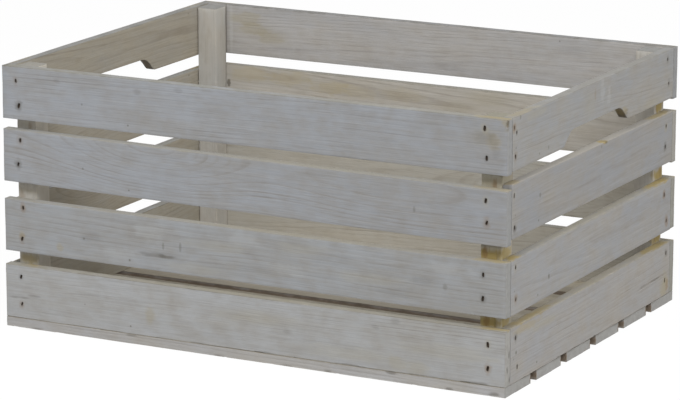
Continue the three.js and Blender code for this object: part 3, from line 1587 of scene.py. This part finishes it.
def right_wall() -> WallOfBoards:
    """The end wall on the right, with a hand-hold."""
    places = {
        TOP: ((-204.5, 278.6), (-198.6, 272.6), (-200.8, 247.9), (190.9, 279.1), (195.3, 251.5)),
        UPPER: ((-203.0, 208.1), (-201.1, 174.5), (190.8, 204.6), (189.2, 181.3)),
        LOWER: ((-197.5, 132.6), (-196.6, 98.8), (189.4, 127.0), (196.7, 96.4)),
        BOTTOM: ((-195.5, 58.0), (-191.0, 26.2), (197.4, 59.1), (196.0, 28.0)),
    }
    return WallOfBoards(
        wall=Wall.RIGHT,
        seed=2,
        figures={
            TOP: Figure(pith=(30, -24), drift=-40, lean=10, ring=3.4, rim=(-3, -3, -2)),
            UPPER: Figure(
                pith=(-14, -26), drift=60, lean=-20, ring=3, tone=(-3, -3, -2), rim=(18, 16, 16)
            ),
            LOWER: Figure(pith=(6, -34), lean=16, tone=(2, 2, 3), rim=(2, 2, 3)),
            BOTTOM: Figure(
                # its lighter tone is painted light bounced up from the floor
                pith=(40, -30), lean=-12, tone=(7, 6, 6), rim=(22, 18, 10), warm=(0.3, 0.9)
            ),
        },
        patches={
            TOP: [
                Patch(BARE, (295, -180, 289.5), (8, 38, 2.2), 0.28),
                # painted shade on the far end of the hand-hold
                Patch(GRIME, (294.5, 78, 237), (9, 8, 8), 0.5),
                Patch(BARE, (294.5, 74, 242), (9, 9, 7), 0.35),
                *RIGHT_FACE.marks(
                    (THIN, 20, 22, 0.22, (-17, 268)),
                    (RUST, 3, 8, 0.25, (-4, 277)),
                    (PALE, 6, 13, 0.17, (14.5, 276), (33, 269)),
                    (GRIME, 2, 2.5, 0.4, (-121, 242), (-190, 287)),
                    (THIN, 34, 6, 0.3, (150, 238), (-150, 284)),
                ),
            ],
            UPPER: [
                *RIGHT_RIM.marks((BARE, 40, 2.8, 0.6, (180, 218.5)), (BARE, 20, 2.8, 0.5, (-196, 221))),
                Patch(BARE, (297, 24, 219.5), (8, 9, 3), 0.9),
                *RIGHT_RIM.marks((THIN, 190, 2.4, 0.2, (0, 220))),
                *RIGHT_FACE.marks(
                    (GRIME, 4, 2, 0.5, (27, 218.5)),
                    (GRIME, 2, 2.5, 0.4, (14.5, 216), (-140, 196)),
                ),
            ],
            LOWER: [
                *RIGHT_RIM.marks(
                    (BARE, 40, 2.8, 0.9, (180, 142)),
                    (BARE, 22, 2.8, 0.9, (-196, 142)),
                    (THIN, 190, 2.4, 0.4, (0, 141.5)),
                ),
                *RIGHT_FACE.marks((GRIME, 2.2, 3, 0.6, (-116, 104))),
            ],
            BOTTOM: [
                *RIGHT_RIM.marks(
                    (BARE, 46, 2.8, 0.75, (180, 70.5)),
                    (BARE, 60, 2.8, 0.65, (-150, 70.5)),
                ),
                *RIGHT_FACE.marks(
                    (BARE, 40, 5, 0.35, (-170, 64)),
                    (THIN, 44, 6, 0.4, (-125, 57)),
                    (GRIME, 42, 1.6, 0.45, (165, 35.5)),
                    (THIN, 12, 18, 0.7, (196, 22)),
                    (RUST, 5, 9, 0.4, (202, 20)),
                    (GRIME, 2.2, 2.4, 0.6, (-194, 42)),
                ),
            ],
        },
        driven={
            course: driven(*spots, tilt=2.0, size=0.74 if course is TOP else 0.78)
            for course, spots in places.items()
        },
        chips={BOTTOM: [Chip((300.0, 151.0, 33.8), (1.6, 92.0, 0.9), (2.4, 0.0, 0.0))]},
    )


def back_wall() -> WallOfBoards:
    """The long wall behind, seen from inside in the picture."""
    marks = weathered(Wall.BACK, 32)
    marks[TOP] += [
        Patch(PALE, (-259, BACK_INSIDE.level, 260), (3, 3, 40), 0.4, 0.2),
        # painted shadow in the corner between the back left post and the back wall
        Patch(GRIME, (-265.4, BACK_INSIDE.level, 260), (1.3, 2, 60), 0.5, 0.2),
        *BACK_INSIDE.marks((THIN, 26, 9, 0.5, (-240, 275), (-227, 262), (-207, 254.5))),
    ]
    marks[UPPER] += BACK_INSIDE.marks(
        (GRIME, 2.2, 5, 0.7, (-262.6, 195.5)),
        (BARE, 34, 10, 0.3, (-234, 209), (-181, 209.5), (-128, 203)),
        (BARE, 34, 10, 0.2, (-95, 201), (-37, 203)),
        (THIN, 34, 10, 0.3, (33, 195), (77, 209)),
    )
    return WallOfBoards(
        wall=Wall.BACK,
        seed=3,
        figures={
            TOP: Figure(
                pith=(-20, -26), drift=30, lean=12, contrast=0.6, tone=(-3, -3, -2), rim=(-26, -24, -18)
            ),
            UPPER: Figure(pith=(12, -24), drift=-40, lean=-14, tone=(7, 4, -2)),
            LOWER: Figure(pith=(-6, -30), lean=12, tone=(1, -1, -8), swirls=(Swirl(130, 80, 18),)),
            BOTTOM: Figure(pith=(20, -30), drift=50, lean=-10, tone=(1, -1, -8)),
        },
        patches=marks,
        driven=scattered(Wall.BACK, 12),
    )


def left_wall() -> WallOfBoards:
    """The end wall on the left, with a hand-hold."""
    return WallOfBoards(
        wall=Wall.LEFT,
        seed=4,
        figures={
            TOP: Figure(pith=(10, -28), drift=-30, lean=-16, rim=(-12, -11, -8)),
            UPPER: Figure(pith=(-16, -26), drift=40, lean=20),
            LOWER: Figure(pith=(24, -30), lean=-8, swirls=(Swirl(-60, 50, 20),)),
            # its lighter tone is painted light bounced up from the floor
            BOTTOM: Figure(pith=(-8, -34), lean=14, tone=(5, 5, 4)),
        },
        patches=weathered(Wall.LEFT, 34),
        driven=scattered(Wall.LEFT, 13),
    )


def corner_posts() -> CornerPosts:
    """The posts, stained yellow where rain stood on the boards' tops, with painted shade under the
    boards and on faces turned into the box, and painted light on the front left post.
    """
    warm = Figure(pith=(9, 30), ring=2.6, sway=4, contrast=0.6, tone=(0, -3, -12))
    plain = Figure(pith=(9, 28), ring=2.6, sway=4, contrast=0.6, tone=(8, 6, 3))
    light = Figure(pith=(-9, 28), ring=2.4, sway=4, contrast=0.5, tone=(2, 2, 3))
    return CornerPosts(
        figures={"front_left": plain, "front_right": warm, "back_left": light, "back_right": light},
        patches={
            "front_left": [
                *FRONT_POSTS.marks(
                    (THIN, 15, 6, 0.4, (-277, 221), (-277, 150)),
                    # painted light on the front left post's front face in the gaps
                    (PALE, 16, 7, 0.4, (-277, 219), (-277, 146)),
                    (BARE, 14, 7, 0.6, (-279, 75)),
                    (RUST, 4, 7, 0.35, (-284, 146), (-272, 222)),
                ),
                # painted shade on the front left post's face turned into the box
                *LEFT_POSTS_INSIDE.marks((GRIME, 30, 130, 0.2, (-195, 120))),
            ],
            "front_right": [
                *FRONT_POSTS.marks(
                    (THIN, 15, 6, 0.5, (277, 221)),
                    (BARE, 16, 8, 0.95, (278, 145), (277, 74)),
                    (RUST, 3.5, 8, 0.6, (271, 147), (273, 75), (281, 219.5)),
                    (GRIME, 3, 6, 0.3, (285, 144), (283, 73)),
                    # painted shadow under each board, at the top of each gap
                    (GRIME, 20, 4, 0.35, (277, 156), (277, 231)),
                ),
                *RIGHT_POSTS.marks(
                    (BARE, 16, 8, 0.75, (-199, 146), (-199, 75)),
                    (THIN, 16, 8, 0.5, (-199, 224)),
                    # painted shadow under each board, at the top of each gap
                    (GRIME, 20, 5, 0.45, (-199, 158), (-199, 84), (-199, 232)),
                ),
            ],
            # painted shade on the back left post's inner face, darkest in the corner by the back wall
            "back_left": LEFT_POSTS_INSIDE.marks(
                (GRIME, 16, 90, 0.12, (196, 240), (194, 120)), (GRIME, 2, 120, 0.3, (207.5, 230))
            ),
            "back_right": RIGHT_POSTS.marks(
                (BARE, 15, 9, 0.95, (196, 223), (198, 147), (196, 76)),
                (RUST, 2.5, 9, 0.35, (188, 224), (202, 148), (190, 76)),
            ),
        },
    )


# ---- Studio ----


@dataclass(frozen=True)
class Softbox:
    """A round soft lamp, placed as the camera is: azimuth and elevation in degrees, power in watts."""

    name: str
    azimuth: float
    elevation: float
    distance: float
    width: float
    power: float

    def direction(self) -> Vector:
        """The way from the box to the lamp."""
        turn, rise = math.radians(self.azimuth), math.radians(self.elevation)
        level = math.cos(rise)
        return Vector((math.sin(turn) * level, -math.cos(turn) * level, math.sin(rise)))


@dataclass
class Studio:
    """A pale floor, soft light and the camera."""

    eye: Triple = (1.80399, -3.44042, 1.05366)
    azimuth: float = 27.739
    elevation: float = 13.407
    roll: float = 0.036
    lens: float = 192.79
    sensor: float = 36.0
    floor_width: float = 80.0
    sky: float = 0.52
    glow: float = 0.93
    aim: Triple = (0.0, 0.0, 0.15)
    lamps: tuple[Softbox, ...] = (
        Softbox("key", 45.0, 38.0, 4.6, 1.5, 70.0),
        Softbox("front", 20.0, 50.0, 4.6, 1.5, 81.0),
        Softbox("left", -35.0, 50.0, 4.2, 2.0, 25.0),
        Softbox("right", 95.0, 25.0, 4.4, 2.0, 47.0),
    )

    def set_camera(self) -> None:
        """Stand the camera where the picture was taken from."""
        lens = bpy.data.cameras.new("camera")
        lens.sensor_width = self.sensor
        lens.lens = self.lens
        camera = bpy.data.objects.new("camera", lens)
        bpy.context.scene.collection.objects.link(camera)
        turn = Matrix.Rotation(math.radians(self.azimuth), 4, "Z")
        tip = Matrix.Rotation(math.radians(90.0 - self.elevation), 4, "X")
        lean = Matrix.Rotation(math.radians(self.roll), 4, "Z")
        camera.matrix_world = Matrix.Translation(self.eye) @ turn @ tip @ lean
        bpy.context.scene.camera = camera

    def set_lamps(self) -> None:
        """Hang the soft lamps, each turned to the box."""
        for one in self.lamps:
            lamp = bpy.data.lights.new(one.name, "AREA")
            lamp.shape = "DISK"
            lamp.size = one.width
            lamp.energy = one.power
            stand = bpy.data.objects.new(one.name, lamp)
            bpy.context.scene.collection.objects.link(stand)
            stand.location = Vector(self.aim) + one.direction() * one.distance
            stand.rotation_euler = one.direction().to_track_quat("Z", "Y").to_euler()

    def set_world(self) -> None:
        """Make an even sky that the camera sees as white."""
        bpy.context.scene.world = bpy.data.worlds.new("studio")
        tree = Tree(bpy.context.scene.world)
        strength = self.sky + tree.seen_plainly() * (1.0 - self.sky)
        white = (1.0, 1.0, 1.0, 1.0)
        sky = tree.node("ShaderNodeBackground", None, {"Color": white, "Strength": strength})
        tree.node_out(sky, "ShaderNodeOutputWorld")

    def set_floor(self) -> None:
        """Lay a floor that looks white and keeps a faint shadow."""
        clear_bench()
        bpy.ops.mesh.primitive_plane_add(size=self.floor_width, location=(0.0, 0.0, 0.0))
        floor = bpy.context.active_object
        floor.name = "studio_floor"
        tree = new_tree("studio_paper")
        seen = tree.seen_plainly()
        point, _ = tree.place()
        cloud = tree.cloud(point, (3.0, 3.0, 3.0), 1.0)
        paper = tree.mix(0.5 + cloud, (167, 167, 167), (171, 171, 171))
        paper = tree.mix(seen, paper, (255, 255, 255))
        matt = tree.node("ShaderNodeBsdfDiffuse", None, {"Color": paper})
        glow = tree.node("ShaderNodeEmission", None, {"Color": (1.0, 1.0, 1.0, 1.0), "Strength": 1.0})
        tree.node_out(tree.node("ShaderNodeMixShader", None, {0: seen * self.glow, 1: matt, 2: glow}))
        floor.data.materials.append(tree.owner)

    def set_up(self) -> None:
        """Set the whole studio."""
        bpy.context.scene.view_settings.view_transform = "Standard"
        self.set_camera()
        self.set_world()
        self.set_lamps()
        self.set_floor()
        log.info("studio: %d lamps, sky %.2f", len(self.lamps), self.sky)


def main() -> None:
    """Build the box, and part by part."""
    logging.basicConfig(level=logging.INFO, format="%(name)s: %(message)s")
    Studio().set_up()
    gun = StapleGun()
    gun.make_masters()
    for part in (front_wall(), right_wall(), back_wall(), left_wall(), corner_posts(), SlattedFloor()):
        part.build(gun)
    gun.put_away()
    clear_bench()


if __name__ == "__main__":
    main()
